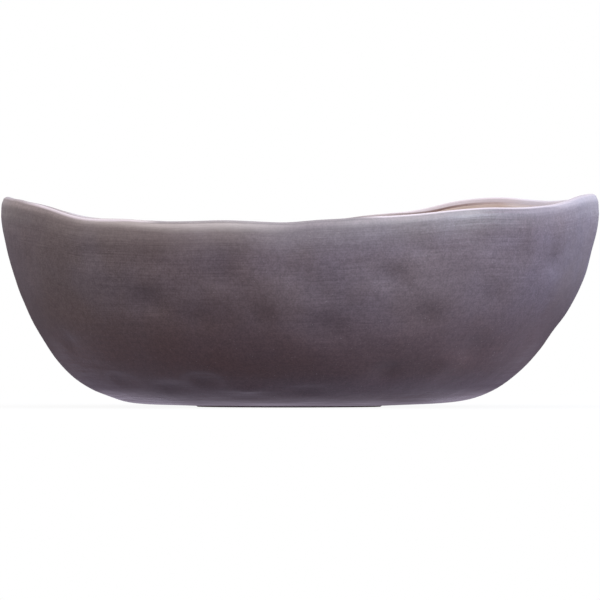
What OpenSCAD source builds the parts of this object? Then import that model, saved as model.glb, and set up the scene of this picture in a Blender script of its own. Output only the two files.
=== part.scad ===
// Hand-formed stoneware salad bowl with a wavy rim, two glazes that meet inside the lip, and a low foot.
// Millimetres, +Z up, +X along the longer side.
// The origin is on the table, below the middle of the rim's outline. The front is towards -Y.

/* [Overall size] */
// Width across the two raised ends
bowl_width = 300; // [270:1:330]
// Depth from front to back
bowl_depth = 280; // [260:1:320]
// Height of the lowest point of the rim
rim_low = 91.5; // [80:0.5:110]
// Rise of the highest point of the rim above the lowest
rim_swing = 15.5; // [4:0.5:20]

/* [Wall] */
// Thickness of the wall with its glazes
wall = 7; // [5:0.25:9]
// Thickness of the floor above the recess in the foot, with the inner glaze
floor_thickness = 5.5; // [4.5:0.25:9]
// Radius at which the underside turns up into the wall
heel_radius = 76; // [70:1:88]
// Height of the underside at that radius
heel_height = 1.8; // [1.4:0.1:5]
// Length of the pull outwards at the start of the turn
heel_pull = 47; // [36:1:50]
// Length of the pull straight down below the lip
wall_pull = 33; // [24:1:44]
// Sideways lean of the lower bowl along X
lean = -3.3; // [-6:0.1:6]
// Height at which the lean has faded out
lean_height = 80; // [60:1:90]
// Depth of the soft dents left by the hands
dent_depth = 0.5; // [0:0.1:1]
// Depth of the broad presses that take the outline off a true oval
press_depth = 2.5; // [0:0.5:4]

/* [Lip] */
// Height of the rounded lip above the wall
lip_height = 5.25; // [5:0.25:9]
// Drop of the glaze seam below the top of the lip, on the inside
seam_drop = 2.5; // [1.5:0.25:3]
// Height of the brown line below the seam
line_height = 1; // [0.6:0.1:1.5]

/* [Foot] */
// Outer radius of the foot ring
foot_radius = 46.5; // [38:0.5:54]
// Width of the foot ring
foot_width = 8; // [5:0.5:12]
// Depth of the recess inside the foot ring
foot_recess = 3; // [2.2:0.1:5]
// Rounding of the foot ring's lower edges
foot_rounding = 0.8; // [0.3:0.1:1.2]
// Offset of the foot along X from the middle of the bowl
foot_offset = -5.5; // [-8:0.5:8]
// Clearance round the foot ring in its pocket, and round the glaze in the recess
foot_gap = 0.2; // [0.1:0.05:0.4]
// Height of the glazed underside above the table, beside the foot
foot_clearance = 0.6; // [0.4:0.1:1.2]

/* [Glaze] */
// Thickness of each glaze coat
glaze = 0.5; // [0.3:0.05:0.8]
// Width of the bare clay band round the foot
bare_band = 1.5; // [0.5:0.25:4]

/* [Hidden] */

clay_color = [0.47, 0.40, 0.35];
outer_color = [0.35, 0.31, 0.33];
line_color = [0.45, 0.33, 0.28];
inner_color = [0.76, 0.69, 0.64];

// Course of the rim: azimuth from +X and share of the swing, read round the bowl
rim_course = [
    [0, 0.98], [12, 0.89], [27, 0.79], [44, 0.90], [54, 0.82], [64, 0.52], [70, 0.43], [77, 0.33],
    [93, 0.12], [108, 0.09], [125, 0.19], [131, 0.22], [138, 0.27], [147, 0.50], [153, 0.65], [168, 0.83],
    [180, 0.89], [190, 0.83], [200, 0.73], [206, 0.60], [214, 0.36], [222, 0.14], [228, 0.09], [240, 0.06],
    [253, 0.08], [267, 0.02], [280, 0.16], [292, 0.24], [304, 0.43], [311, 0.49], [319, 0.49], [332, 0.65],
    [340, 0.85], [347, 0.95]
];
// Places where the outline is pressed in or pulled out: azimuth, half-width in degrees, share of the depth
outline_presses = [[42, 38, -1.2], [136, 42, 0.8], [222, 40, -1], [314, 42, 1]];
// Waves that make up the dents: count round the bowl, turn with height, phase
dent_waves = [[5, 220, 0], [8, -300, 60], [11, 420, 130]];

// Steps of the surface: round the bowl, under it, up the wall, over the lip and across the floor
columns = 64;
underside_steps = 2;
wall_steps = 11;
lip_steps = 6;
floor_steps = 3;
// Smoothness of the turned foot
$fn = 96;

pocket_radius = (foot_radius + foot_gap) / cos(180 / columns);
underside_start = pocket_radius + bare_band;
floor_height = foot_recess + floor_thickness;
seam_angle = 180 - asin(1 - seam_drop / lip_height);
line_angle = 180 - asin(1 - (seam_drop + line_height) / lip_height);

// Stations of the finished surface at which the glazes meet
seam_station = underside_steps + wall_steps + lip_steps;
line_station = seam_station + 1;

course_count = len(rim_course);
azimuths = [for (i = [0:columns - 1]) 360 * i / columns];
profiles = [for (a = azimuths) finished_profile(a)];
last_station = len(profiles[0]) - 1;

function total(values) = values * [for (v = values) 1];
function mix(from, to, share) = from + (to - from) * share;

// Smooth closed course through the listed points
function course_azimuth(i) =
    rim_course[(i + course_count) % course_count][0] + 360 * floor(i / course_count);
function course_share(i) = rim_course[(i + course_count) % course_count][1];
function course_slope(i) =
    (course_share(i + 1) - course_share(i - 1)) / (course_azimuth(i + 1) - course_azimuth(i - 1));
function course_leg(a) = max([for (i = [0:course_count - 1]) if (rim_course[i][0] <= a) i]);
function rim_share(a) =
    let (
        i = course_leg(a),
        span = course_azimuth(i + 1) - course_azimuth(i),
        t = (a - course_azimuth(i)) / span,
        s = 1 - t
    )
    course_share(i) * (1 + 2 * t) * s * s
    + course_share(i + 1) * (3 - 2 * t) * t * t
    + span * t * s * (course_slope(i) * s - course_slope(i + 1) * t);
function rim_height(a) = rim_low + rim_swing * rim_share(a);

// Oval outline of the wall below the lip, with its presses
function away(a, b) = abs((a - b + 540) % 360 - 180);
function press(a, p) = away(a, p[0]) < p[1] ? p[2] * (1 + cos(180 * away(a, p[0]) / p[1])) / 2 : 0;
function outline_radius(a) =
    bowl_width * bowl_depth / 2 / norm([bowl_depth * cos(a), bowl_width * sin(a)])
    + press_depth * total([for (p = outline_presses) press(a, p)]);

// Dents that fade out towards the heel and the lip, and the lean of the sections
function dent(a, u) =
    let (waves = [for (w = dent_waves) sin(w[0] * a + w[1] * u + w[2])])
    dent_depth * sin(180 * u) * total(waves) / len(waves);
function lean_at(z) = z < lean_height ? lean * (1 + cos(180 * z / lean_height)) / 2 : 0;

// Wall curve at one azimuth, from the heel up to the lip, and its outward direction
function wall_handles(a) =
    let (r = outline_radius(a), z = rim_height(a) - lip_height)
    [[heel_radius, heel_height], [heel_radius + heel_pull, heel_height], [r, z - wall_pull], [r, z]];
function curve_point(h, u) =
    let (v = 1 - u)
    h[0] * v * v * v + h[1] * 3 * u * v * v + h[2] * 3 * u * u * v + h[3] * u * u * u;
function curve_outward(h, u) =
    let (v = 1 - u, along = (h[1] - h[0]) * v * v + (h[2] - h[1]) * 2 * u * v + (h[3] - h[2]) * u * u)
    [along[1], -along[0]] / norm(along);

// A station is its distance from the section's centre, its height, and the centre's place on X
function station(p, centre) = [p[0], p[1], centre];
function wall_station(a, u, depth) =
    let (h = wall_handles(a), outward = curve_outward(h, u), p = curve_point(h, u) + outward * dent(a, u))
    station(p - outward * depth, lean_at(p[1]));
function lip_station(a, turn) =
    let (h = wall_handles(a))
    station(h[3] + [wall / 2 * (cos(turn) - 1), lip_height * sin(turn)], lean_at(h[3][1]));
function floor_station(a, share) =
    let (edge = wall_station(a, 0, wall))
    station([edge[0] * share, mix(floor_height, edge[1], share * share)], edge[2]);

function finished_profile(a) =
    let (
        foot_edge = [underside_start, foot_clearance, foot_offset],
        heel = wall_station(a, 0, 0)
    )
    concat(
        [for (k = [0:underside_steps - 1]) mix(foot_edge, heel, k / underside_steps)],
        [for (k = [0:wall_steps]) wall_station(a, k / wall_steps, 0)],
        [for (k = [1:lip_steps]) lip_station(a, seam_angle * k / lip_steps)],
        [lip_station(a, line_angle)],
        [for (k = [wall_steps:-1:0]) wall_station(a, k / wall_steps, wall)],
        [for (k = [floor_steps - 1:-1:1]) floor_station(a, k / floor_steps)]
    );

// A station moved below the finished surface, square to the profile
function sunk(profile, j, depth) =
    let (
        along = profile[min(j + 1, len(profile) - 1)] - profile[max(j - 1, 0)],
        across = [along[1], -along[0]] / norm([along[0], along[1]])
    )
    profile[j] - station(across * depth, 0);

function place(a, s) = [s[2] + s[0] * cos(a), s[0] * sin(a), s[1]];
function skin(first, last, depth) =
    [for (i = [0:columns - 1]) for (j = [first:last]) place(azimuths[i], sunk(profiles[i], j, depth))];
function floor_middle(depth) = [lean, 0, floor_height - depth];

// Faces between neighbouring columns of points, each column holding the given number of rows
function column(start, rows, i) = start + (i % columns) * rows;
function turned(face) = [face[0], face[2], face[1]];
function sheet_faces(start, rows, reversed) =
    [
        for (i = [0:columns - 1])
        for (j = [0:rows - 2])
        let (a = column(start, rows, i) + j, b = column(start, rows, i + 1) + j)
        for (face = [[a, a + 1, b + 1], [a, b + 1, b]])
        reversed ? turned(face) : face
    ];
function edge_faces(top, back, rows, row, reversed) =
    [
        for (i = [0:columns - 1])
        let (
            a = column(top, rows, i) + row,
            b = column(top, rows, i + 1) + row,
            c = column(back, rows, i + 1) + row,
            d = column(back, rows, i) + row
        )
        for (face = [[a, b, c], [a, c, d]])
        reversed ? turned(face) : face
    ];
function fan_faces(start, rows, row, middle, reversed) =
    [
        for (i = [0:columns - 1])
        let (face = [column(start, rows, i) + row, column(start, rows, i + 1) + row, middle])
        reversed ? turned(face) : face
    ];

// A ring of glaze between two stations, backed all over by the clay
module glaze_band(first, last) {
    rows = last - first + 1;
    back = columns * rows;
    polyhedron(
        points = concat(skin(first, last, 0), skin(first, last, glaze)),
        faces = concat(
            sheet_faces(0, rows, false),
            sheet_faces(back, rows, true),
            edge_faces(0, back, rows, 0, false),
            edge_faces(0, back, rows, rows - 1, true)
        ),
        convexity = 6
    );
}

// The clay from the pocket under the foot, up the wall, over the lip and down to the floor's middle
module clay_body() {
    pocket_roof = [pocket_radius, foot_recess, foot_offset];
    pocket_edge = [pocket_radius, foot_clearance + glaze, foot_offset];
    rows = last_station + 3;
    points = [
        for (i = [0:columns - 1])
        for (s = concat(
            [pocket_roof, pocket_edge],
            [for (j = [0:last_station]) sunk(profiles[i], j, glaze)]
        ))
        place(azimuths[i], s)
    ];
    roof_middle = len(points);
    color(clay_color)
    polyhedron(
        points = concat(points, [[foot_offset, 0, foot_recess], floor_middle(glaze)]),
        faces = concat(
            sheet_faces(0, rows, false),
            fan_faces(0, rows, 0, roof_middle, false),
            fan_faces(0, rows, rows - 1, roof_middle + 1, true)
        ),
        convexity = 6
    );
}

module foot_ring() {
    inner = foot_radius - foot_width;
    color(clay_color)
    translate([foot_offset, 0, 0])
    rotate_extrude()
    difference() {
        translate([inner, 0])
        square([foot_width, foot_recess]);
        for (corner = [[inner, 0], [foot_radius, 1]])
        translate([corner[0], 0])
        mirror([corner[1], 0])
        difference() {
            square(foot_rounding);
            translate([foot_rounding, foot_rounding])
            circle(foot_rounding);
        }
    }
}

module base_glaze() {
    color(outer_color)
    translate([foot_offset, 0, foot_recess - glaze])
    cylinder(r = foot_radius - foot_width - foot_gap, h = glaze);
}

module outer_glaze() {
    color(outer_color)
    glaze_band(0, seam_station);
}

module rim_line() {
    color(line_color)
    glaze_band(seam_station, line_station);
}

module inner_glaze() {
    rows = last_station - line_station + 1;
    back = columns * rows;
    middle = 2 * back;
    color(inner_color)
    polyhedron(
        points = concat(
            skin(line_station, last_station, 0),
            skin(line_station, last_station, glaze),
            [floor_middle(0), floor_middle(glaze)]
        ),
        faces = concat(
            sheet_faces(0, rows, false),
            sheet_faces(back, rows, true),
            edge_faces(0, back, rows, 0, false),
            fan_faces(0, rows, rows - 1, middle, true),
            fan_faces(back, rows, rows - 1, middle + 1, false)
        ),
        convexity = 6
    );
}

clay_body();
foot_ring();
base_glaze();
outer_glaze();
rim_line();
inner_glaze();
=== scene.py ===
"""Looks of a hand-formed stoneware salad bowl: satin taupe glaze outside, glossy beige glaze inside."""

import math
import random

import bpy
import numpy as np
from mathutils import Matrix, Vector


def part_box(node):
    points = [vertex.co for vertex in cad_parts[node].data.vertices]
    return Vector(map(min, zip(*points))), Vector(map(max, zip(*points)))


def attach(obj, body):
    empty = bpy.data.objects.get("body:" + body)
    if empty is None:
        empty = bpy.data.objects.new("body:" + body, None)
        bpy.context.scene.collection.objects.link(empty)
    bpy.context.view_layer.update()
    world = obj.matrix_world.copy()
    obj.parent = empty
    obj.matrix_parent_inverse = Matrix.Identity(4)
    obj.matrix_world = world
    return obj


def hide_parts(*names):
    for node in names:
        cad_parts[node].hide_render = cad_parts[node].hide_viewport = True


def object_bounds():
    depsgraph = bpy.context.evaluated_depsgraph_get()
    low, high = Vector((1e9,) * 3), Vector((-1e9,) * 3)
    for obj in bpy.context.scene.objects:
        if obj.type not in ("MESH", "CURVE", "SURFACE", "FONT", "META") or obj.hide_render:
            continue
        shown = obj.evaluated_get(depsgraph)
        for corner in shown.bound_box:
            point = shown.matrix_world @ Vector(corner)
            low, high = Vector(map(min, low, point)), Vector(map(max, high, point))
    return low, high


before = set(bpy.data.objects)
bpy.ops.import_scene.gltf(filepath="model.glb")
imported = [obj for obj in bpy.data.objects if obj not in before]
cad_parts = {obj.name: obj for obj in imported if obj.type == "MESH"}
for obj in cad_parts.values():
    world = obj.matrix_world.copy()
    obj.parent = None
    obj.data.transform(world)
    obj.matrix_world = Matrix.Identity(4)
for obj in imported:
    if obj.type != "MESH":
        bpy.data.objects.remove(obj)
cad_box = [list(corner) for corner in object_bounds()]

MM = 0.001
UP = np.array((0, 0, 1))
WHITE = (1, 1, 1, 1)

# Clean-up of the clay and glaze coats: welding distance, angle between faces of one coat, angle of a coat's
# edge, rounds of rounding out, and tries at bringing the rounded surface back to the CAD's points
WELD = 0.01 * MM
SAME_FACE = math.radians(60)
COAT_EDGE = math.radians(50)
ROUNDS = 2
TRIES = 2
# Columns in which the crest of the lip is looked for
CREST_COLUMNS = 256
# Stretch below the crest in which the lip turns softly into the wall, and how much and how often it is
# smoothed there
LIP_TURN = (1 * MM, 9 * MM)
LIP_SMOOTHING = 0.5
LIP_SMOOTHING_TIMES = 20

# Unevenness from the hands: grain size, detail and reach, the heights between which it sets in above the
# foot, and its share left on the lip, which it reaches this far below the crest
HAND_GRAIN = 30 * MM
HAND_DETAIL = 1
HAND_REACH = 1.3 * MM
CALM_BELOW = 2.5 * MM
WORKED_ABOVE = 14 * MM
LIP_SHARE = 0.3
LIP_REACH = 14 * MM

# Finger dents on the front of the wall, in millimetres: place across, height, half-width, half-height and
# depth. A depth below zero is a swelling.
FRONT_DENTS = [
    (-103, 77, 20, 6, 0.7), (-73, 73, 12, 8, 1.0), (-75, 53, 10, 7, 2.2), (-38, 65, 9, 6.5, 1.1),
    (-32, 75, 10, 6, 0.7), (-50, 45, 13, 6, 1.1), (-19, 45, 8, 6, 1.4), (12, 40, 11, 7.5, 1.9),
    (10, 59, 12, 7, 1.0), (0, 68, 12, 6, 0.5), (45, 65, 10, 7, 1.6), (63, 46, 9, 7, 1.7),
    (43, 18, 9, 7, 1.5), (86, 30, 14, 8, 1.5), (93, 83, 12, 6, 0.6), (126, 73, 8, 9, 1.7),
    (111, 78, 8, 9, 1.1), (95, 56, 10, 7, 1.0), (-115, 32, 8, 6, 1.3), (61, 79, 16, 6, 0.6),
    (123, 64, 6, 8, -0.8), (75, 23, 9, 7, -1.3), (119, 82, 5, 9, -0.5), (45, 35, 9, 6, -0.5),
    (24, 52, 9, 6, 0.6), (41, 60, 8, 5, -0.5), (-10, 55, 12, 8, -0.3), (-26, 9.5, 7, 2.3, -1.1),
]
# Fingertip marks along the heel, in millimetres: place across, height, half-width, half-height and depth.
# Each has a painted highlight on its brow and fades out below, MARK_OPEN times as far as above.
# NO_MARK is the distance that is kept where no mark is near, in half-widths.
HEEL_MARKS = [
    (-89, 14, 10, 5, 1.2), (-63, 10.5, 11, 4.5, 1.2), (-48, 14, 9, 5, 1.2), (-27, 5.5, 8, 2.5, 0.4),
    (4, 9, 10, 3.5, 0.8),
]
MARK_OPEN = 2.5
NO_MARK = 9.0
# Broad, shallow presses at the two ends: side, -1 on the left and 1 on the right, and in millimetres height,
# half-width, half-height and depth. A depth below zero is a swelling.
END_PRESSES = [
    (-1, 4.5, 45, 7, 0.7), (-1, 1.5, 40, 14, -0.35), (-1, 36, 45, 8, 0.3), (1, 3, 45, 14, 0.4),
    (1, 37, 45, 8, 0.8), (1, 77.5, 45, 9.5, 0.85),
]
# Lifts of the lip: azimuth in degrees, and in millimetres half-width along the lip and height. A height
# below zero is a press. All have the same half-width across the lip.
LIP_LIFTS = [
    (201, 8, -0.4), (211, 12, 0.4), (229, 20, 0.85), (245, 20, -0.45), (267, 9, -0.35), (279, 9, -0.4),
    (41, 16, 0.4), (81, 11, -0.65),
]
LIFT_ACROSS_LIP = 12
# Dents round the rest of the wall, in rows: height in millimetres, first and last azimuth in degrees, count
DENT_ROWS = [(22, 12, 168, 8), (40, 20, 175, 9), (56, 8, 160, 9), (72, 15, 170, 8), (11, 5, 178, 11)]
# How far they stray from their row, in degrees and in millimetres, and their sizes in millimetres
DENT_STRAY = (-6, 6)
DENT_WIDTHS = (8, 14)
DENT_HEIGHTS = (5.5, 8)
DENT_DEPTHS = (0.5, 1.6)
DENT_SEED = 5
# How far through the wall a dent carries, and the distance from which it is pushed, in millimetres
DENT_THROUGH = 9
PUSH_FROM = 300

# Foot ring and the glazed recess inside it: segments round them, rounding of the ring's lower edges and its
# steps, clearance between the two, and count and depth of the turning rings in the recess
FOOT_SEGMENTS = 128
FOOT_EDGE = 0.8 * MM
FOOT_EDGE_STEPS = 4
FOOT_GAP = 0.2 * MM
RECESS_RINGS = 9
RECESS_MARK = 0.06 * MM

# Values of a noise: those between which most of its grains lie, and those between which one cloud or patch
# turns into the next, or a speck stands out
GRAIN_SPREAD = (0.3, 0.7)
CLOUD_EDGE = (0.36, 0.64)
SOFT_CLOUD_EDGE = (0.35, 0.65)
PATCH_EDGE = (0.38, 0.62)
TAUPE_SPECK_EDGE = (0.74, 0.79)
BEIGE_SPECK_EDGE = (0.72, 0.77)
GRIT_EDGE = (0.66, 0.74)
# Grain of the outside glaze, in the recess too: clouds, patches of brushing, mottle, flecks, specks, gloss
# and ripples
TAUPE_CLOUDS = 45 * MM
TAUPE_PATCHES = 55 * MM
TAUPE_MOTTLE = 2.6 * MM
TAUPE_FLECKS = 0.9 * MM
TAUPE_SPECKS = 0.7 * MM
TAUPE_RIPPLES = 7.7 * MM
BASE_CLOUDS = 25 * MM
BASE_MOTTLE = 2.4 * MM
BASE_GLOSS = 7.7 * MM
BASE_RIPPLES = 3.8 * MM
# Brush strokes on it: their length, and their breadth as a share of the wall's height
BRUSH_LENGTH = 28 * MM
BRUSH_BREADTH = 1 / 130
# Painted light across the bowl, lighter and cooler towards the two ends: the first tint, and then in
# millimetres across where it turns into the next
LEFT_END_PAINTED_LIGHT = (1.14, 1.22, 1.20, 1)
PAINTED_LIGHT_ACROSS = [
    (-130, -30, WHITE), (40, 118, (0.92, 0.91, 0.955, 1)), (120, 140, (1.04, 1.07, 1.12, 1)),
    (138, 147, (1.23, 1.26, 1.30, 1)),
]
# Its lip: grain of the pale band's wander, distance of the low stretch to the left of the bowl's middle, and
# in millimetres across where the left stretch ends and where the right one sets in
LIP_WANDER = 17 * MM
LIP_MIDDLE = 20 * MM
LEFT_LIP = (-95, -80)
RIGHT_LIP = (-60, 20)
# Grain of the inside glaze: clouds, specks, gloss and ripples
BEIGE_CLOUDS = 38 * MM
BEIGE_SPECKS = 1.4 * MM
BEIGE_GLOSS = 11 * MM
BEIGE_RIPPLES = 17 * MM
# Where painted light pales the inside glaze and the brown line at the higher end, in millimetres across
RIGHT_END_PAINTED_LIGHT = (101, 110)
# Grain of the brown line: its browns, gloss and ripples
BREAK_BROWNS = 3.3 * MM
BREAK_GLOSS = 5 * MM
BREAK_RIPPLES = 2 * MM
# Grain of the bare clay: clouds, grit, relief and roughness
CLAY_CLOUDS = 12 * MM
CLAY_GRIT = 0.7 * MM
CLAY_RELIEF = 0.55 * MM
CLAY_ROUGHNESS = 1.7 * MM
# Refraction of the finishes
GLAZE_IOR = 1.5
BEIGE_IOR = 1.52
CLAY_IOR = 1.45

# Camera: distance, height of its aim, and the width of the view at the bowl
CAMERA_DISTANCE = 6.0
CAMERA_HEIGHT = 53.5 * MM
VIEW_WIDTH = 300.8 * MM
SENSOR = 36

# Floor: its size, colour, the light it returns to the bowl, its show in gloss and the ring in which that
# fades, and the ring in which its shadow fades to white
FLOOR_SIZE = 60
FLOOR_COLOUR = (0.85, 0.85, 0.85, 1)
FLOOR_BOUNCE = (0.08, 0.068, 0.064, 1)
FLOOR_SHEEN = (0.91, 0.80, 1.03, 1)
SHEEN_FADE = (0.09, 0.24)
SHEEN_LEVEL = (0.6, 0.15)
SHADOW_FADE = (0.3, 0.9)
SHADOW_WHITE = (0.93, 1)
# Surround: its light from the left and from the right, where it turns from one to the other, its rise from
# the horizon up, and its show in gloss
SURROUND_LEFT = (0.69, 0.63, 0.625, 1)
SURROUND_RIGHT = (0.98, 1.12, 1.45, 1)
SURROUND_TURN = (-0.5, 1)
SURROUND_RISE = (0.7, 1.2)
SURROUND_GLOSS = 0.1
# Softboxes: place, size, power and colour
SOFTBOXES = {
    "softbox_above": ((-0.2, -0.2, 2.2), 1.8, 19, (1.0, 0.98, 0.96)),
    "softbox_right": ((1.9, -0.9, 0.9), 1.2, 30, (0.74, 0.86, 1.0)),
}


# Edit-mode handling

def pick(piece):
    """Makes one object the only selected one."""
    bpy.ops.object.select_all(action="DESELECT")
    piece.select_set(True)
    bpy.context.view_layer.objects.active = piece


def finish_with(piece, kind, **settings):
    """Adds a modifier and applies it."""
    modifier = piece.modifiers.new(kind.lower(), kind)
    for name, value in settings.items():
        setattr(modifier, name, value)
    pick(piece)
    bpy.ops.object.modifier_apply(modifier=modifier.name)


def places_of(piece):
    """The vertices of a piece as rows of x, y and z."""
    flat = np.empty(3 * len(piece.data.vertices), np.float32)
    piece.data.vertices.foreach_get("co", flat)
    return flat.reshape(-1, 3).astype(float)


def move_to(piece, places):
    """Moves the vertices of a piece to these places."""
    piece.data.vertices.foreach_set("co", places.astype(np.float32).ravel())
    piece.data.update()


def mark(piece, name, values):
    """Keeps one number per vertex for the materials to read."""
    attribute = piece.data.attributes.new(name, "FLOAT", "POINT")
    attribute.data.foreach_set("value", values.astype(np.float32))


def azimuth_of(places):
    """The azimuth of each place, in degrees from the right."""
    return np.degrees(np.arctan2(places[:, 1], places[:, 0])) % 360


# Clay body and glaze coats

def fired_copy(node, name):
    """A copy of a CAD node as quads, rounded out through the same points, its coat's edges kept sharp."""
    piece = bpy.data.objects.new(name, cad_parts[node].data.copy())
    bpy.context.scene.collection.objects.link(piece)
    pick(piece)
    bpy.ops.mesh.customdata_custom_splitnormals_clear()
    bpy.ops.object.mode_set(mode="EDIT")
    bpy.ops.mesh.select_mode(type="EDGE")
    bpy.ops.mesh.select_all(action="SELECT")
    bpy.ops.mesh.remove_doubles(threshold=WELD)
    bpy.ops.mesh.tris_convert_to_quads(face_threshold=SAME_FACE, shape_threshold=SAME_FACE)
    bpy.ops.mesh.select_all(action="DESELECT")
    bpy.ops.mesh.edges_select_sharp(sharpness=COAT_EDGE)
    bpy.ops.transform.edge_crease(value=1)
    bpy.ops.object.mode_set(mode="OBJECT")
    corners = places_of(piece)
    for _ in range(TRIES):
        trial = piece.copy()
        trial.data = piece.data.copy()
        bpy.context.scene.collection.objects.link(trial)
        finish_with(trial, "SUBSURF", levels=ROUNDS, render_levels=ROUNDS)
        drift = places_of(trial)[:len(corners)] - corners
        move_to(piece, places_of(piece) - drift)
        bpy.data.objects.remove(trial)
    finish_with(piece, "SUBSURF", levels=ROUNDS, render_levels=ROUNDS)
    return piece


def crest_of(coat):
    """Height and radius of the lip's crest, column by column round the bowl."""
    places = places_of(coat)
    columns = np.round(azimuth_of(places) * CREST_COLUMNS / 360).astype(int) % CREST_COLUMNS
    rising = np.argsort(places[:, 2])
    crest = np.zeros((CREST_COLUMNS, 2))
    crest[columns[rising], 0] = places[rising, 2]
    crest[columns[rising], 1] = np.hypot(places[rising, 0], places[rising, 1])
    return crest


def beside_crest(places, crest):
    """Depth of each place below the crest at its azimuth, distance outside it, and share of its height."""
    azimuths = azimuth_of(places)
    round_the_lip = np.arange(CREST_COLUMNS) * 360 / CREST_COLUMNS
    height, radius = (np.interp(azimuths, round_the_lip, values, period=360) for values in crest.T)
    return height - places[:, 2], np.hypot(places[:, 0], places[:, 1]) - radius, places[:, 2] / height


def soften_lip(piece, crest):
    """Smooths the turn from the lip into the wall, on the outside."""
    below, outside_by = beside_crest(places_of(piece), crest)[:2]
    turning = (below > LIP_TURN[0]) & (below < LIP_TURN[1]) & (outside_by > 0)
    pick(piece)
    bpy.ops.object.mode_set(mode="EDIT")
    bpy.ops.mesh.select_mode(type="VERT")
    bpy.ops.mesh.select_all(action="DESELECT")
    bpy.ops.object.mode_set(mode="OBJECT")
    piece.data.vertices.foreach_set("select", turning)
    bpy.ops.object.mode_set(mode="EDIT")
    bpy.ops.mesh.vertices_smooth(factor=LIP_SMOOTHING, repeat=LIP_SMOOTHING_TIMES)
    bpy.ops.object.mode_set(mode="OBJECT")


def hand_texture():
    """The soft clouds that the hands' unevenness follows."""
    texture = bpy.data.textures.new("hand_feel", "CLOUDS")
    texture.cloud_type = "COLOR"
    texture.noise_scale = HAND_GRAIN
    texture.noise_depth = HAND_DETAIL
    return texture


def work_by_hand(piece, crest, feel):
    """Soft unevenness, the same in the clay and its coats, and calm at the foot and the lip."""
    places = places_of(piece)
    below = beside_crest(places, crest)[0]
    rise = np.clip((places[:, 2] - CALM_BELOW) / (WORKED_ABOVE - CALM_BELOW), 0, 1)
    shares = rise * (LIP_SHARE + (1 - LIP_SHARE) * np.clip(below / LIP_REACH, 0, 1))
    worked = piece.vertex_groups.new(name="worked")
    for index, share in enumerate(shares):
        worked.add([index], share, "REPLACE")
    finish_with(
        piece, "DISPLACE", texture=feel, texture_coords="LOCAL", direction="RGB_TO_XYZ", space="LOCAL",
        mid_level=0.5, strength=HAND_REACH, vertex_group="worked",
    )


# Dents, presses and lifts of the lip

def on_the_wall(coat, start, towards):
    """Where a push from outside meets the wall: the place, and the directions outwards, across and up."""
    place, outward = (np.array(found) for found in coat.ray_cast(start, towards)[1:3])
    across = np.cross(UP, outward)
    across /= np.linalg.norm(across)
    return place, outward, across, np.cross(outward, across)


def pushed_in(coat, outward, height):
    """Where a level push at this height, against a direction outwards, meets the wall."""
    start = outward * PUSH_FROM + Vector((0, 0, height))
    return on_the_wall(coat, start * MM, -outward)


def dents_in_front(coat, listed):
    """Listed dents on the front of the wall, each as its spot and its half-width, half-height and depth."""
    from_front = Vector((0, 1, 0))
    return [
        (on_the_wall(coat, Vector((across, -PUSH_FROM, height)) * MM, from_front), sizes)
        for across, height, *sizes in listed
    ]


def presses_at_ends(coat):
    """Listed presses at the two ends of the bowl, in the same form."""
    return [(pushed_in(coat, Vector((side, 0, 0)), height), sizes) for side, height, *sizes in END_PRESSES]


def dents_all_round(coat):
    """Rows of dents of uneven size round the rest of the wall, in the same form."""
    dents = []
    stray = random.Random(DENT_SEED)
    for row, first, last, count in DENT_ROWS:
        for step in range(count):
            azimuth = math.radians(first + (last - first) * step / (count - 1) + stray.uniform(*DENT_STRAY))
            height = row + stray.uniform(*DENT_STRAY)
            sizes = [stray.uniform(*span) for span in (DENT_WIDTHS, DENT_HEIGHTS, DENT_DEPTHS)]
            outward = Vector((math.cos(azimuth), math.sin(azimuth), 0))
            dents.append((pushed_in(coat, outward, height), sizes))
    return dents


def lifts_of_lip(crest):
    """Listed lifts of the lip, in the same form, as dents that are pushed from below."""
    lifts = []
    for azimuth, along, height in LIP_LIFTS:
        level, radius = crest[round(azimuth * CREST_COLUMNS / 360)]
        turn = math.radians(azimuth)
        outward = np.array((math.cos(turn), math.sin(turn), 0))
        spot = (outward * radius + UP * level, UP, np.cross(UP, outward), outward)
        lifts.append((spot, (along, LIFT_ACROSS_LIP, -height)))
    return lifts


def press_fingers(piece, dents, marks):
    """Presses the dents and the heel marks into a piece, and keeps how deep each vertex is pressed.

    It also keeps how far each vertex lies from a heel mark. The marks fall into two sets by turns, each with
    its own distance, so that the painted highlight on a mark's brow still shows where its neighbour begins.
    """
    places = places_of(piece)
    moves = np.zeros_like(places)
    depths = np.zeros(len(places))
    from_marks = np.full((2, len(places)), NO_MARK)
    for number, ((middle, outward, across, up), (wide, tall, depth)) in enumerate(marks + dents):
        away = (places - middle) / MM
        aside = away @ across / wide
        above = away @ up / tall
        through = away @ outward / DENT_THROUGH
        pressed = depth * np.exp(-aside ** 2 - above ** 2 - through ** 2)
        moves -= pressed[:, None] * outward
        depths += pressed
        if number < len(marks):
            above = np.where(above < 0, above / MARK_OPEN, above)
            distance = np.sqrt(aside ** 2 + above ** 2 + through ** 2)
            from_marks[number % 2] = np.minimum(from_marks[number % 2], distance)
    move_to(piece, np.clip(places + moves * MM, *cad_box))
    mark(piece, "pooled_and_painted_shade", depths)
    mark(piece, "from_mark", from_marks[0])
    mark(piece, "from_next_mark", from_marks[1])


def mark_course(piece, crest):
    """Keeps each vertex's place beside the crest, and its share of the way up the wall."""
    below, outside_by, course = beside_crest(places_of(piece), crest)
    mark(piece, "below_lip", below)
    mark(piece, "outside_lip", outside_by)
    mark(piece, "course", course)


# Foot

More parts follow.
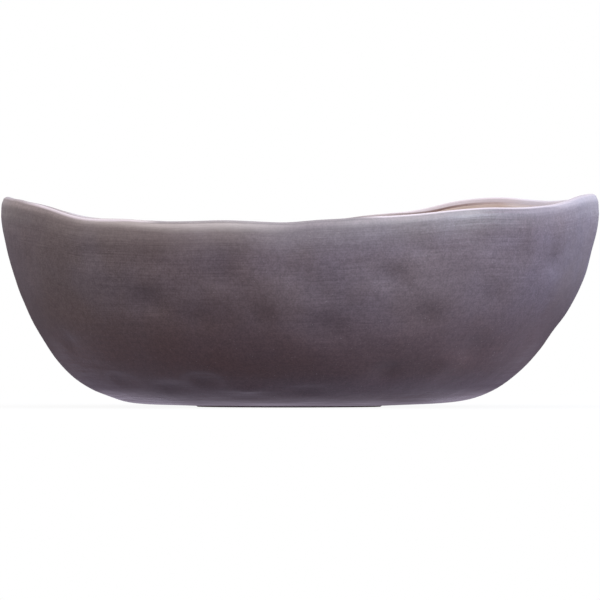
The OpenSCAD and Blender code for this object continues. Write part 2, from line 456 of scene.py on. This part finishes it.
def bare_foot():
    """The foot ring: a disc with its middle cut out, drawn up to its height, its lower edges rounded."""
    low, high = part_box("foot_ring")
    recess_low, recess_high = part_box("base_glaze")
    inner = (recess_high.x - recess_low.x) / 2 + FOOT_GAP
    outer = (high.x - low.x) / 2
    height = high.z - low.z
    bpy.ops.object.select_all(action="DESELECT")
    bpy.ops.mesh.primitive_circle_add(
        vertices=FOOT_SEGMENTS, radius=outer, fill_type="NGON",
        location=((low.x + high.x) / 2, 0, low.z), enter_editmode=True,
    )
    piece = bpy.context.object
    piece.name = "bare_foot"
    bpy.ops.mesh.inset(thickness=outer - inner)
    bpy.ops.mesh.delete(type="FACE")
    bpy.ops.mesh.select_all(action="SELECT")
    bpy.ops.mesh.extrude_region_move(TRANSFORM_OT_translate={"value": (0, 0, height)})
    bpy.ops.mesh.select_all(action="SELECT")
    bpy.ops.mesh.normals_make_consistent(inside=False)
    bpy.ops.mesh.select_mode(type="EDGE")
    bpy.ops.mesh.select_all(action="DESELECT")
    bpy.ops.object.mode_set(mode="OBJECT")
    for edge in piece.data.edges:
        ends = [piece.data.vertices[i].co for i in edge.vertices]
        at_the_bottom = all(end.z < height / 2 for end in ends)
        round_the_ring = abs(ends[0].xy.length - ends[1].xy.length) < FOOT_GAP
        edge.select = at_the_bottom and round_the_ring
    bpy.ops.object.mode_set(mode="EDIT")
    bpy.ops.mesh.bevel(offset=FOOT_EDGE, segments=FOOT_EDGE_STEPS, affect="EDGES")
    bpy.ops.object.mode_set(mode="OBJECT")
    bpy.ops.object.transform_apply(location=True, rotation=True, scale=True)
    return piece


def base_coat():
    """The glaze in the recess of the foot: a thin disc with turning marks on its lower face."""
    low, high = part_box("base_glaze")
    radius = (high.x - low.x) / 2
    bpy.ops.object.select_all(action="DESELECT")
    bpy.ops.mesh.primitive_circle_add(
        vertices=FOOT_SEGMENTS, radius=radius, fill_type="NGON",
        location=((low.x + high.x) / 2, 0, high.z), enter_editmode=True,
    )
    piece = bpy.context.object
    piece.name = "base_coat"
    bpy.ops.mesh.extrude_region_move(TRANSFORM_OT_translate={"value": (0, 0, low.z - high.z + RECESS_MARK)})
    for ring in range(RECESS_RINGS):
        bpy.ops.mesh.inset(thickness=radius / (RECESS_RINGS + 1), depth=RECESS_MARK * (-1) ** ring)
    bpy.ops.mesh.select_all(action="SELECT")
    bpy.ops.mesh.normals_make_consistent(inside=False)
    bpy.ops.object.mode_set(mode="OBJECT")
    bpy.ops.object.transform_apply(location=True, rotation=True, scale=True)
    return piece


# Material recipes

def shade(red, green, blue):
    """A colour written as it looks on screen, from 0 to 255."""
    def linear(value):
        value /= 255
        return value / 12.92 if value <= 0.04045 else ((value + 0.055) / 1.055) ** 2.4
    return (linear(red), linear(green), linear(blue), 1)


class Recipe:
    """The nodes of a material or a surround, added one by one.

    An input is a value, or a socket that feeds it. A share is a value from 0 to 1.
    """

    def __init__(self, owner):
        self.owner = owner
        self.owner.use_nodes = True
        self.tree = self.owner.node_tree

    def feed(self, socket, value):
        """Gives a socket its value, or links it to the socket that feeds it."""
        if isinstance(value, bpy.types.NodeSocket):
            self.tree.links.new(value, socket)
        else:
            socket.default_value = value

    def add(self, kind, inputs=None, **settings):
        """Adds a node."""
        node = self.tree.nodes.new("ShaderNode" + kind)
        for name, value in settings.items():
            setattr(node, name, value)
        for name, value in (inputs or {}).items():
            self.feed(node.inputs[name], value)
        return node

    def place(self):
        """The object coordinates."""
        return self.add("TexCoord").outputs["Object"]

    def axes(self, where):
        """The x, y and z of a place."""
        return self.add("SeparateXYZ", {0: where}).outputs

    def number(self, name):
        """A number that is kept at the vertices."""
        return self.add("Attribute", attribute_name=name).outputs["Fac"]

    def maths(self, operation, first, second=0.0):
        """One step of arithmetic on one or two values."""
        return self.add("Math", {0: first, 1: second}, operation=operation).outputs[0]

    def times(self, first, *others):
        """The product of values."""
        for other in others:
            first = self.maths("MULTIPLY", first, other)
        return first

    def rest(self, share):
        """What is left of a share."""
        return self.maths("SUBTRACT", 1, share)

    def grain(self, where, size, detail, roughness=0.5):
        """Noise with grains of about this size."""
        inputs = {"Vector": where, "Scale": 1 / size, "Detail": detail, "Roughness": roughness}
        return self.add("TexNoise", inputs).outputs["Fac"]

    def between(self, value, low, high, start=0.0, end=1.0, easing="SMOOTHSTEP"):
        """Takes a value from low..high to start..end."""
        inputs = {0: value, 1: low, 2: high, 3: start, 4: end}
        return self.add("MapRange", inputs, interpolation_type=easing).outputs[0]

    def over(self, value, low, high, start=0.0, end=1.0):
        """Takes a length from low..high, in millimetres, to start..end."""
        return self.between(value, low * MM, high * MM, start, end)

    def turned(self, share, start, end):
        """Goes from start to end with a share."""
        return self.between(share, 0, 1, start, end)

    def graded(self, grain, low, high):
        """Spreads the grains of a noise from low to high."""
        return self.between(grain, *GRAIN_SPREAD, low, high)

    def mix(self, share, first, second, blend="MIX"):
        """Turns the first colour into the second by a share."""
        node = self.add("Mix", {0: share, 6: first, 7: second}, data_type="RGBA", blend_type=blend)
        return node.outputs[2]

    def tinted(self, share, colour, tint):
        """Multiplies a colour with a tint by a share."""
        return self.mix(share, colour, tint, "MULTIPLY")

    def mottled(self, colour, grain, reach):
        """Makes a colour darker and lighter with the grains of a noise."""
        return self.tinted(1, colour, self.graded(grain, 1 - reach, 1 + reach))

    def specked(self, colour, grain, edge, share, tint):
        """Strews specks of a tint on a colour, where the grains of a noise pass an edge."""
        return self.mix(self.between(grain, *edge, 0, share), colour, tint)

    def relief(self, height, depth, strength, under=None):
        """Bumps of this depth, over others where these are given."""
        inputs = {"Height": height, "Distance": depth, "Strength": strength}
        if under is not None:
            inputs["Normal"] = under
        return self.add("Bump", inputs).outputs["Normal"]

    def course(self, length, breadth):
        """Coordinates that run round the bowl in courses along the lip, each a share of the wall broad."""
        across, along, _ = self.axes(self.place())
        inputs = {
            0: self.maths("DIVIDE", across, length),
            1: self.maths("DIVIDE", along, length),
            2: self.maths("DIVIDE", self.number("course"), breadth),
        }
        return self.add("CombineXYZ", inputs).outputs[0]

    def shader(self, share, first, second):
        """A shader that turns from the first into the second by a share."""
        return self.add("MixShader", {0: share, 1: first.outputs[0], 2: second.outputs[0]})

    def seen(self, path):
        """Whether the camera sees a surface itself, or through something clear."""
        return self.maths("MAXIMUM", path["Is Camera Ray"], path["Is Transmission Ray"])

    def finish(self, **sockets):
        """Feeds the surface shader's sockets, with _ for the spaces in their names."""
        for name, value in sockets.items():
            self.feed(self.tree.nodes["Principled BSDF"].inputs[name.replace("_", " ")], value)
        return self.owner


# Outside glaze, layer by layer

class Spot:
    """Where a point of the outside glaze lies, for all the layers of its recipe.

    Its level is its share of the way up the wall, and how far it is sunk is its depth below the crest.
    """

    def __init__(self, r):
        self.place = r.place()
        self.across, _, self.up = r.axes(self.place)
        self.from_middle = r.maths("ABSOLUTE", self.across)
        self.from_low_lip = r.maths("ABSOLUTE", r.maths("ADD", self.across, LIP_MIDDLE))
        self.on_left = r.over(self.across, *LEFT_LIP, 1, 0)
        self.on_right = r.over(self.across, *RIGHT_LIP)
        self.level = r.number("course")
        self.sunk = r.number("below_lip")
        self.outside = r.over(r.number("outside_lip"), -0.5, 0.5)
        self.brush = r.grain(r.course(BRUSH_LENGTH, BRUSH_BREADTH), 1, 2, 0.6)
        self.heel_ends = r.times(
            r.over(self.from_middle, 65, 100), r.between(self.level, 0.1, 0.32, 1, 0),
            r.between(self.level, 0.04, 0.1),
        )


def clouded_taupe(r, spot):
    """Taupe in clouds, browner low on the wall partly as painted shade, with painted light at the ends."""
    clouds = r.between(r.grain(spot.place, TAUPE_CLOUDS, 3), *CLOUD_EDGE)
    upper = r.mix(clouds, shade(144, 127, 129), shade(146, 131, 138))
    # Darker and browner low on the wall: partly the glaze's own colour, partly painted shade
    lower = r.mix(clouds, shade(113, 88, 86), shade(113, 91, 92))
    colour = r.mix(r.between(spot.level, 0.2, 0.68), lower, upper)
    # Painted light: lighter and cooler towards the two ends
    painted_light = LEFT_END_PAINTED_LIGHT
    for start, end, tint in PAINTED_LIGHT_ACROSS:
        painted_light = r.mix(r.over(spot.across, start, end), painted_light, tint)
    return r.tinted(1, colour, painted_light)


def painted_light_and_shade_on_wall(r, spot, colour):
    """Painted shade at the heel's ends and high left, a painted sheen above the foot, painted light at the
    left end.
    """
    # Painted shade: the ends of the heel darker
    colour = r.tinted(spot.heel_ends, colour, (0.85, 0.85, 0.85, 1))
    # Painted sheen: a bluish reflection above the foot
    painted_sheen = r.times(r.between(spot.level, 0.05, 0.085), r.between(spot.level, 0.1, 0.2, 0.065, 0))
    colour = r.mix(painted_sheen, colour, shade(176, 174, 216))
    # Painted shade high on the left
    painted_shade_high_left = r.times(
        r.over(spot.across, -138, -118), r.over(spot.across, -95, -70, 1, 0),
        r.between(spot.level, 0.5, 0.7),
    )
    colour = r.tinted(painted_shade_high_left, colour, (0.87, 0.87, 0.87, 1))
    # Painted light part way up the left end
    painted_light_left_end = r.times(
        r.between(spot.level, 0.2, 0.32), r.between(spot.level, 0.42, 0.55, 1, 0),
        r.over(spot.across, -132, -95, 0.12, 0),
    )
    return r.mix(painted_light_left_end, colour, shade(190, 176, 176))


def brushed(r, spot, colour):
    """Fine strokes in courses, patchy and stronger towards the lip, with mottle and flecks."""
    patches = r.between(r.grain(spot.place, TAUPE_PATCHES, 2), *PATCH_EDGE, 0.15, 1)
    stronger = r.between(spot.level, 0.6, 0.85, 0.9, 1.5)
    strokes = r.times(r.maths("SUBTRACT", spot.brush, 0.5), patches, stronger)
    colour = r.tinted(1, colour, r.between(strokes, -0.2, 0.2, 0.9, 1.1, "LINEAR"))
    colour = r.mottled(colour, r.grain(spot.place, TAUPE_MOTTLE, 3, 0.7), 0.1)
    return r.mottled(colour, r.grain(spot.place, TAUPE_FLECKS, 1), 0.11)


def pooled_and_painted_shade(r, spot, colour):
    """Darker in the dents and heel marks, partly pooled glaze, partly painted shade, with painted highlights
    on brows.
    """
    # Partly pooled glaze, partly painted shade in the dents
    colour = r.mix(r.between(r.number("pooled_and_painted_shade"), 0, 1.6, 0, 0.22), colour, shade(82, 68, 70))
    for marks in ("from_mark", "from_next_mark"):
        away = r.number(marks)
        # Partly pooled glaze, partly painted shade in each heel mark
        colour = r.mix(r.between(away, 0.2, 1, 0.25, 0), colour, shade(78, 64, 68))
        # Painted highlight on the brow over each heel mark
        painted_brow_highlight = r.times(
            r.between(away, 0.7, 1.05), r.between(away, 1.05, 1.6, 0.16, 0), r.over(spot.up, 9, 17, 0.15, 1),
        )
        colour = r.mix(painted_brow_highlight, colour, shade(180, 172, 188))
    return colour


def thin_glaze_and_painted_light_below_lip(r, spot, colour):
    """Paler in a wandering band below the lip, partly where the glaze thins and partly as painted light."""
    wander = r.between(r.grain(spot.place, LIP_WANDER, 3), 0, 1, -1.2 * MM, 1.2 * MM, "LINEAR")
    narrower = r.over(spot.from_low_lip, 20, 100, -1 * MM, 1 * MM)
    below = r.maths("ADD", spot.sunk, r.maths("ADD", wander, narrower))
    # Partly thinner glaze, partly painted light: the pale band fading down from the lip
    fading = r.times(
        r.over(below, 2, 20, 0.3, 0), r.turned(spot.on_right, 1, 0.62),
        r.over(spot.across, 82, 100, 1, 0.25), r.over(spot.across, -145, -90, 0.25, 1),
    )
    faded = r.mix(spot.on_right, shade(216, 203, 197), shade(212, 208, 201))
    colour = r.mix(fading, colour, faded)
    # Paler just under the crest: partly thin glaze, partly painted light
    thin_and_painted_light_left = r.times(
        r.over(spot.across, -128, -80, 0.05, 0.6), r.over(spot.across, -40, 10, 1, 0),
        r.over(below, 2, 6, 1, 0),
    )
    thin_and_painted_light_right = r.times(
        r.over(spot.across, 5, 30, 0, 0.15), r.over(spot.across, 82, 98, 1, 0),
        r.over(below, 3.4, 5.4, 1, 0),
    )
    # Each band is partly thin glaze, partly painted light
    for thin in (thin_and_painted_light_left, thin_and_painted_light_right):
        colour = r.mix(thin, colour, shade(230, 220, 214))
    return colour


def ends_below_lip(r, spot, colour):
    """Painted shade below the lip towards the right end, painted light near its crest, painted shade at the
    left end.
    """
    # Painted shade below the lip towards the right end
    painted_shade_below_right_lip = r.times(
        r.over(spot.across, 70, 95), r.over(spot.across, 134, 146, 1, 0), r.over(spot.sunk, 6, 18, 1, 0),
    )
    painted_shade_tint = r.mix(r.over(spot.across, 108, 135), (0.90, 0.88, 0.84, 1), (0.98, 0.93, 0.90, 1))
    colour = r.tinted(painted_shade_below_right_lip, colour, painted_shade_tint)
    # Painted light near the crest at the right end
    painted_light_near_right_crest = r.times(r.over(spot.across, 95, 120), r.over(spot.sunk, 1, 8, 0.16, 0))
    colour = r.mix(painted_light_near_right_crest, colour, shade(224, 214, 220))
    # Painted shade under the lip at the left end
    painted_shade_left_end = r.times(
        r.over(spot.sunk, 2.5, 5), r.over(spot.sunk, 9, 15, 1, 0), r.over(spot.across, -140, -115, 1, 0),
    )
    return r.tinted(painted_shade_left_end, colour, (0.78, 0.78, 0.80, 1))


def line_on_crest(r, spot, colour):
    """A grey edge under the low lip's crest, and a pale line on the crest towards both ends: thin glaze and
    painted highlight.
    """
    pale_crest = r.over(spot.from_low_lip, 48, 62)
    edge_top = r.maths("MAXIMUM", r.over(spot.sunk, 0.3, 0.7), r.rest(pale_crest))
    edge = r.times(
        edge_top, r.over(spot.sunk, 0.8, 1.6, 0.7, 0), r.between(pale_crest, 0, 1, 1, 0.15, "LINEAR"),
        spot.outside,
    )
    colour = r.mix(edge, colour, shade(128, 119, 122))
    top = r.times(r.turned(spot.on_right, 0.5 * MM, 0), r.over(spot.across, -135, -118, 0.4, 1))
    below_top = r.maths("SUBTRACT", spot.sunk, top)
    full = r.turned(spot.on_left, 0.2 * MM, 0.5 * MM)
    lower_on_left = r.turned(spot.on_left, 0, 0.4 * MM)
    foot = r.maths("ADD", r.over(spot.across, 120, 140, 1 * MM, 4.5 * MM), lower_on_left)
    # Partly glaze thinning on the edge, partly a painted highlight along the crest
    pale_line_and_painted_highlight = r.times(
        r.between(below_top, full, foot, r.turned(spot.on_left, 0.75, 0.8), 0), r.over(below_top, -0.3, 0),
        r.over(spot.across, -140, -126, 0.1, 1), r.over(spot.across, 105, 140, 1, 0.45), pale_crest,
    )
    return r.mix(pale_line_and_painted_highlight, colour, r.mix(spot.on_left, shade(238, 225, 227), shade(250, 238, 243)))


def inside_of_lip(r, spot, colour):
    """Pale inside the lip towards the right end, partly thin glaze, partly painted light; burnt brown by the
    brown line.
    """
    inner_side = r.times(r.over(spot.sunk, 3, 5, 1, 0), r.rest(spot.outside))
    # Partly thin glaze, partly painted light inside the lip, cooler at the right end as painted light
    pale = r.times(inner_side, r.over(spot.across, 35, 60, 0, 0.6))
    painted_light_tint = r.mix(r.over(spot.across, 106, 118), shade(234, 223, 228), shade(226, 222, 232))
    colour = r.mix(pale, colour, painted_light_tint)
    burnt_from = r.over(spot.across, 40, 76, -0.2 * MM, 2.1 * MM)
    into_burnt = r.maths("SUBTRACT", spot.sunk, burnt_from)
    burnt = r.times(
        r.over(into_burnt, 0, 0.5, 0, 0.8), r.over(spot.across, 36, 62, 0.45, 1),
        r.over(spot.across, 76, 102, 1, 0.35), r.over(spot.across, 101, 109, 1, 0), inner_side,
    )
    return r.mix(burnt, colour, shade(120, 95, 90))


def satin_taupe():
    """The outside glaze: clouded taupe, brushed in courses, pale where it thins at the lip, with painted
    light and shade.
    """
    r = Recipe(bpy.data.materials.new("satin_taupe"))
    spot = Spot(r)
    colour = clouded_taupe(r, spot)
    for layer in (painted_light_and_shade_on_wall, brushed, pooled_and_painted_shade):
        colour = layer(r, spot, colour)
    specks = r.grain(spot.place, TAUPE_SPECKS, 1)
    colour = r.specked(colour, specks, TAUPE_SPECK_EDGE, 0.5, shade(214, 202, 204))
    for layer in (thin_glaze_and_painted_light_below_lip, ends_below_lip, line_on_crest, inside_of_lip):
        colour = layer(r, spot, colour)
    duller_heel = r.maths("MULTIPLY", spot.heel_ends, 0.16)
    glossier_base = r.times(r.over(spot.from_middle, 50, 72), r.between(spot.level, 0.05, 0.11, 0.09, 0))
    roughness = r.maths("ADD", r.graded(spot.brush, 0.30, 0.40), duller_heel)
    roughness = r.maths("SUBTRACT", roughness, glossier_base)
    ripples = r.relief(r.grain(spot.place, TAUPE_RIPPLES, 2), 0.5 * MM, 0.5)
    strokes = r.relief(spot.brush, 0.12 * MM, 0.6, ripples)
    return r.finish(Base_Color=colour, Roughness=roughness, Normal=strokes, IOR=GLAZE_IOR)


# Other finishes

def gloss_beige():
    """The inside glaze: glossy beige, browned below the lip, with painted light at the higher end, darker
    towards the floor.
    """
    r = Recipe(bpy.data.materials.new("gloss_beige"))
    where = r.place()
    clouds = r.between(r.grain(where, BEIGE_CLOUDS, 4), *SOFT_CLOUD_EDGE)
    colour = r.mix(clouds, shade(224, 208, 198), shade(229, 215, 207))
    runs = r.between(r.number("course"), 0.15, 0.9, 0.8, 0)
    colour = r.mix(runs, colour, r.mix(clouds, shade(172, 153, 138), shade(182, 166, 153)))
    below = r.number("below_lip")
    colour = r.mix(r.over(below, 3, 9, 0.25, 0), colour, shade(186, 162, 146))
    # Painted light inside the higher end, below the lip
    painted_light_inside_right_end = r.times(r.over(r.axes(where)["X"], *RIGHT_END_PAINTED_LIGHT), r.over(below, 5, 13, 0.75, 0))
    colour = r.mix(painted_light_inside_right_end, colour, shade(240, 232, 229))
    colour = r.specked(colour, r.grain(where, BEIGE_SPECKS, 1), BEIGE_SPECK_EDGE, 0.6, shade(120, 88, 66))
    roughness = r.graded(r.grain(where, BEIGE_GLOSS, 2), 0.16, 0.26)
    ripples = r.relief(r.grain(where, BEIGE_RIPPLES, 2), 0.4 * MM, 0.3)
    return r.finish(Base_Color=colour, Roughness=roughness, Normal=ripples, IOR=BEIGE_IOR)


def brown_break():
    """The line where the two glazes meet and burn brown, fainter towards the higher end and paled there by
    painted light.
    """
    r = Recipe(bpy.data.materials.new("brown_break"))
    where = r.place()
    across = r.axes(where)["X"]
    colour = r.mix(r.grain(where, BREAK_BROWNS, 3), shade(118, 92, 86), shade(150, 124, 118))
    colour = r.mix(r.over(across, 70, 104, 0, 0.8), colour, shade(214, 197, 194))
    # Painted light at the higher end
    colour = r.mix(r.over(across, *RIGHT_END_PAINTED_LIGHT, 0, 0.8), colour, shade(222, 214, 216))
    roughness = r.graded(r.grain(where, BREAK_GLOSS, 2), 0.25, 0.4)
    ripples = r.relief(r.grain(where, BREAK_RIPPLES, 2), 0.1 * MM, 0.4)
    return r.finish(Base_Color=colour, Roughness=roughness, Normal=ripples, IOR=GLAZE_IOR)


def bare_clay():
    """Fired stoneware without glaze: buff, gritty and matt."""
    r = Recipe(bpy.data.materials.new("bare_clay"))
    where = r.place()
    clouds = r.between(r.grain(where, CLAY_CLOUDS, 4), *SOFT_CLOUD_EDGE)
    colour = r.mix(clouds, shade(128, 110, 96), shade(150, 132, 116))
    colour = r.specked(colour, r.grain(where, CLAY_GRIT, 2), GRIT_EDGE, 0.7, shade(78, 62, 52))
    roughness = r.graded(r.grain(where, CLAY_ROUGHNESS, 2), 0.78, 0.92)
    relief = r.relief(r.grain(where, CLAY_RELIEF, 3), 0.15 * MM, 0.8)
    return r.finish(Base_Color=colour, Roughness=roughness, Normal=relief, IOR=CLAY_IOR)


def base_taupe():
    """The glaze in the recess of the foot: mottled, specked taupe."""
    r = Recipe(bpy.data.materials.new("base_taupe"))
    where = r.place()
    clouds = r.between(r.grain(where, BASE_CLOUDS, 3), *CLOUD_EDGE)
    colour = r.mix(clouds, shade(104, 90, 90), shade(118, 106, 112))
    colour = r.mottled(colour, r.grain(where, BASE_MOTTLE, 3, 0.6), 0.12)
    colour = r.specked(colour, r.grain(where, TAUPE_SPECKS, 1), TAUPE_SPECK_EDGE, 0.5, shade(190, 178, 180))
    roughness = r.graded(r.grain(where, BASE_GLOSS, 2), 0.38, 0.5)
    ripples = r.relief(r.grain(where, BASE_RIPPLES, 2), 0.2 * MM, 0.4)
    return r.finish(Base_Color=colour, Roughness=roughness, Normal=ripples, IOR=GLAZE_IOR)


# Stage

def white_floor():
    """A pale floor, white to the camera apart from a soft shadow near the bowl, and clear from below."""
    bpy.ops.object.select_all(action="DESELECT")
    bpy.ops.mesh.primitive_plane_add(size=FLOOR_SIZE)
    floor = bpy.context.object
    floor.name = "floor"
    r = Recipe(bpy.data.materials.new("pale_floor"))
    path = r.add("LightPath").outputs
    away = r.add("VectorMath", {0: r.place()}, operation="LENGTH").outputs["Value"]
    sheen_level = r.between(away, *SHEEN_FADE, *SHEEN_LEVEL)
    sheen = r.add("Emission", {"Color": FLOOR_SHEEN, "Strength": sheen_level})
    bounce = r.add("BsdfDiffuse", {"Color": FLOOR_BOUNCE})
    unseen = r.shader(path["Is Glossy Ray"], bounce, sheen)
    shadowed = r.add("BsdfDiffuse", {"Color": FLOOR_COLOUR})
    white = r.add("Emission", {"Color": WHITE})
    pale = r.shader(r.between(away, *SHADOW_FADE, *SHADOW_WHITE), shadowed, white)
    top = r.shader(r.seen(path), unseen, pale)
    clear = r.add("BsdfTransparent")
    both_sides = r.shader(r.add("NewGeometry").outputs["Backfacing"], top, clear)
    r.feed(r.tree.nodes["Material Output"].inputs["Surface"], both_sides.outputs[0])
    floor.data.materials.append(r.owner)


def white_surround():
    """A surround that is white to the camera, and lights the bowl softly from above and from the right."""
    bpy.context.scene.world = bpy.data.worlds.new("surround")
    r = Recipe(bpy.context.scene.world)
    towards = r.axes(r.add("TexCoord").outputs["Generated"])
    tint = r.mix(r.between(towards["X"], *SURROUND_TURN), SURROUND_LEFT, SURROUND_RIGHT)
    light = r.tinted(1, tint, r.between(towards["Z"], 0, 1, *SURROUND_RISE, "LINEAR"))
    path = r.add("LightPath").outputs
    in_gloss = r.maths("MULTIPLY", path["Is Glossy Ray"], SURROUND_GLOSS)
    plain = r.maths("MAXIMUM", r.seen(path), in_gloss)
    r.feed(r.tree.nodes["Background"].inputs["Color"], r.mix(plain, light, WHITE))


def softbox(name, place, size, power, colour):
    """A square softbox aimed at the middle of the bowl."""
    bpy.ops.object.select_all(action="DESELECT")
    aim = Vector((0, 0, CAMERA_HEIGHT)) - Vector(place)
    bpy.ops.object.light_add(type="AREA", location=place, rotation=aim.to_track_quat("-Z", "Y").to_euler())
    light = bpy.context.object
    light.name = name
    light.data.size = size
    light.data.energy = power
    light.data.color = colour
    light.visible_camera = False


def camera_in_front():
    """A level camera, far enough away to see the bowl almost without perspective."""
    bpy.ops.object.camera_add(
        location=(0, -CAMERA_DISTANCE, CAMERA_HEIGHT), rotation=(math.radians(90), 0, 0)
    )
    camera = bpy.context.object
    camera.data.sensor_width = SENSOR
    camera.data.lens = SENSOR * CAMERA_DISTANCE / VIEW_WIDTH
    camera.data.clip_end = FLOOR_SIZE
    bpy.context.scene.camera = camera


def dress(piece, material, node):
    """Gives a finished piece its material and its place in the frame."""
    piece.data.materials.clear()
    piece.data.materials.append(material)
    pick(piece)
    bpy.ops.object.shade_smooth_by_angle(angle=COAT_EDGE)
    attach(piece, "root")
    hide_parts(node)


# Making

hand_feel = hand_texture()
fired_body = fired_copy("clay_body", "fired_body")
satin_coat = fired_copy("outer_glaze", "satin_coat")
break_line = fired_copy("rim_line", "break_line")
gloss_coat = fired_copy("inner_glaze", "gloss_coat")
fired_pieces = (fired_body, satin_coat, break_line, gloss_coat)

crest = crest_of(satin_coat)
for piece in (fired_body, satin_coat):
    soften_lip(piece, crest)
heel_marks = dents_in_front(satin_coat, HEEL_MARKS)
dents = dents_in_front(satin_coat, FRONT_DENTS) + presses_at_ends(satin_coat) + dents_all_round(satin_coat)
dents += lifts_of_lip(crest)
for piece in fired_pieces:
    work_by_hand(piece, crest, hand_feel)
    press_fingers(piece, dents, heel_marks)
crest = crest_of(satin_coat)
for piece in fired_pieces:
    mark_course(piece, crest)

clay = bare_clay()
dress(fired_body, clay, "clay_body")
dress(satin_coat, satin_taupe(), "outer_glaze")
dress(break_line, brown_break(), "rim_line")
dress(gloss_coat, gloss_beige(), "inner_glaze")
dress(bare_foot(), clay, "foot_ring")
dress(base_coat(), base_taupe(), "base_glaze")

white_floor()
white_surround()
for name, settings in SOFTBOXES.items():
    softbox(name, *settings)
camera_in_front()
bpy.context.scene.view_settings.view_transform = "Standard"
